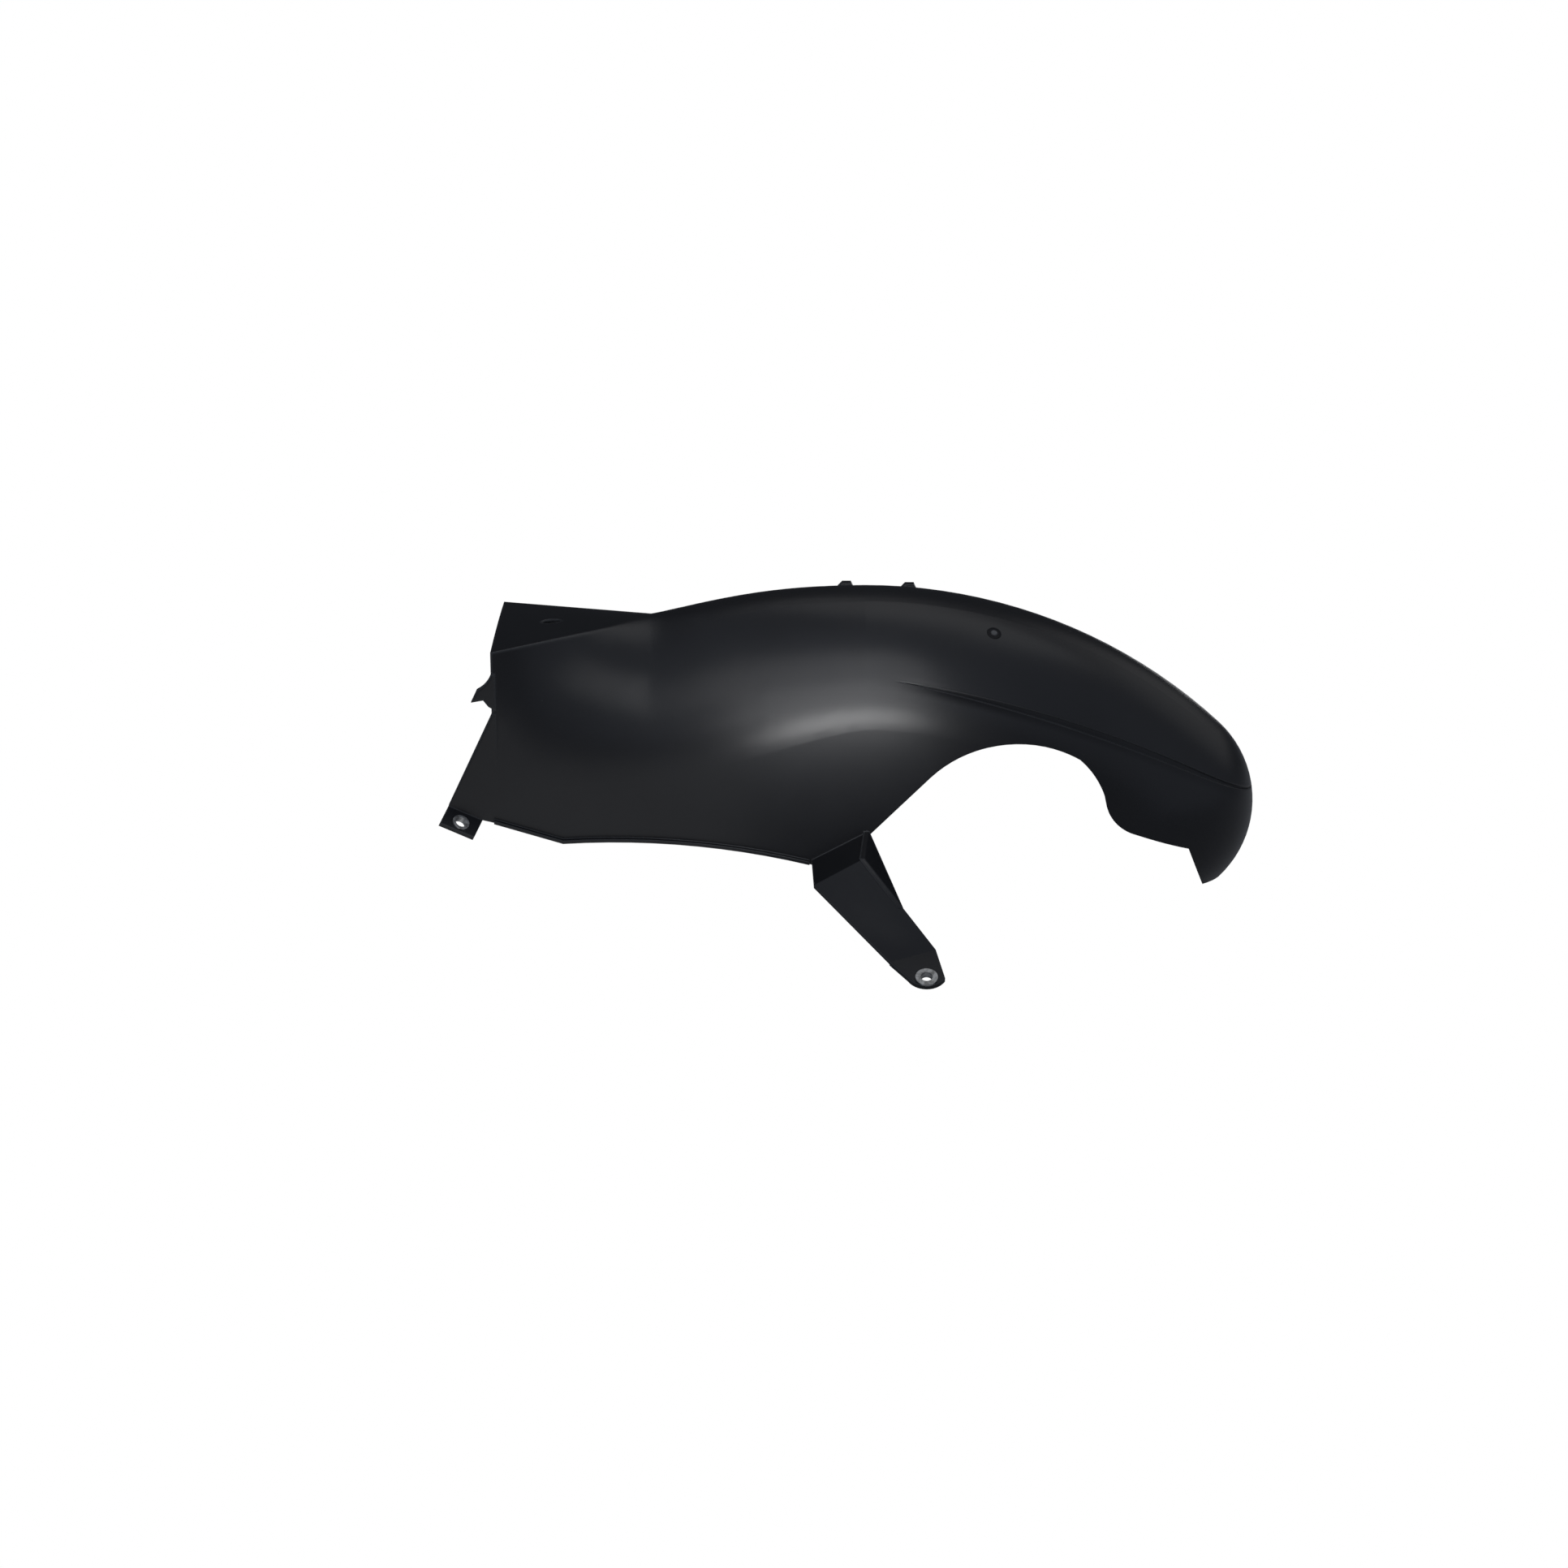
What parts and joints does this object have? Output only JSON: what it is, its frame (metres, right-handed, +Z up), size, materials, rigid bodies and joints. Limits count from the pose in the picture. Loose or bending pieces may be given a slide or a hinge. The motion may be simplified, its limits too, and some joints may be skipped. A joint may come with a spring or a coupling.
{
  "type": "rear wheel mudguard",
  "caption": "U-shaped moulded mudguard for a scooter's rear wheel, with a flared flat front end, a side mounting leg, a front foot and steel bolt collars.",
  "frame": {"origin": "centre of the leg's bolt seat, on the face under the collar's flange", "axes": "+X to the rear of the vehicle along the guard's length, +Y across it towards the far side, +Z up"},
  "size_m": [0.4645, 0.1912, 0.2011],
  "materials": {
    "moulding": "fine grained satin black",
    "collar": "bright zinc plated"
  },
  "bodies": {
    "root": {"fender_shell": "moulding", "leg_collar": "collar", "front_foot_collar": "collar"}
  },
  "joints": []
}
